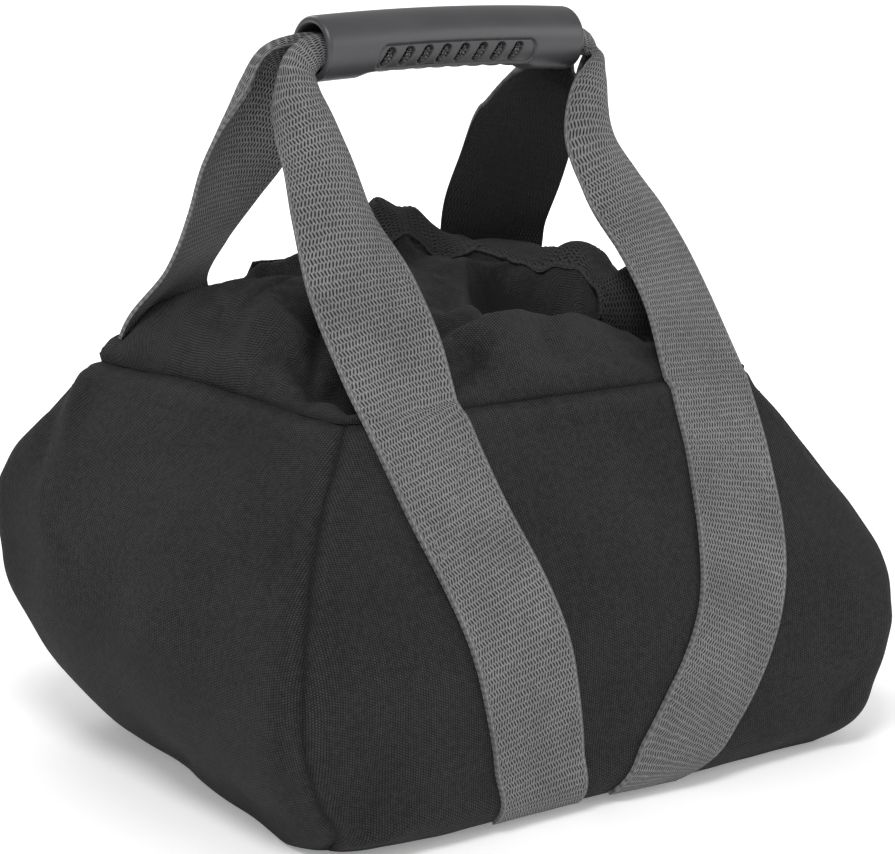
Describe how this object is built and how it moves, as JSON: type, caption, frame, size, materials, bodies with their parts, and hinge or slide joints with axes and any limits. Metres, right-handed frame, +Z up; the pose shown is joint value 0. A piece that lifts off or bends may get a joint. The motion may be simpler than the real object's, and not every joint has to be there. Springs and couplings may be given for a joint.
{
  "type": "canvas carry sandbag",
  "caption": "Sand-filled canvas carry bag: wide base, narrow rim, slack top with a fill flap, and webbing straps that meet in a moulded hand grip.",
  "frame": {"origin": "centre of the base panel, on the floor", "axes": "+Z up, +X along the hand grip, -Y to the front face"},
  "size_m": [0.3512, 0.2659, 0.3365],
  "materials": {
    "canvas": "matte plain-weave canvas",
    "carry_webbing": "grey woven webbing",
    "black_webbing": "black woven webbing",
    "thread": "grey sewing thread",
    "binding": "woven seam binding",
    "hook_tape": "hook tape",
    "loop_tape": "loop tape",
    "liner": "translucent film",
    "cable_tie": "nylon tie",
    "sand": null,
    "grip_plastic": "satin moulded plastic",
    "grip_rubber": "glossy rubber"
  },
  "bodies": {
    "bag": {"front_panel": "canvas", "rear_panel": "canvas", "left_panel": "canvas", "right_panel": "canvas", "base_panel": "canvas", "top_panel": "canvas", "mouth_strip": "canvas", "mouth_loop_tape": "loop_tape", "rim_seam_binding": "binding", "corner_seam_bindings": "binding", "liner_bag": "liner", "liner_tie": "cable_tie", "sand_fill": "sand", "front_left_strap": "carry_webbing", "front_right_strap": "carry_webbing", "rear_left_strap": "carry_webbing", "rear_right_strap": "carry_webbing", "box_stitching": "thread", "front_left_leg": "carry_webbing", "front_right_leg": "carry_webbing", "rear_left_leg": "carry_webbing", "rear_right_leg": "carry_webbing", "top_band_side": "black_webbing", "top_band_ridge": "black_webbing"},
    "flap": {"fill_flap": "canvas", "flap_hook_tape": "hook_tape"},
    "handle_straps": {"front_strap_core": "carry_webbing", "rear_strap_core": "carry_webbing"},
    "grip": {"grip_shell": "grip_plastic", "grip_insert": "grip_rubber"}
  },
  "joints": [
    {"name": "handle_drop", "type": "slide", "parent": "bag", "child": "handle_straps", "axis": [0, 0, -1], "range_m": [0, 0.045], "deforming": ["front_left_leg", "front_right_leg", "rear_left_leg", "rear_right_leg"]},
    {"name": "grip_roll", "type": "hinge", "parent": "handle_straps", "child": "grip", "pos_m": [0, 0, 0.3215], "axis": [1, 0, 0], "range_deg": [-20, 20]},
    {"name": "flap_lift", "type": "hinge", "parent": "bag", "child": "flap", "pos_m": [0, 0.0632, 0.2122], "axis": [1, 0, 0], "range_deg": [0, 45]}
  ]
}
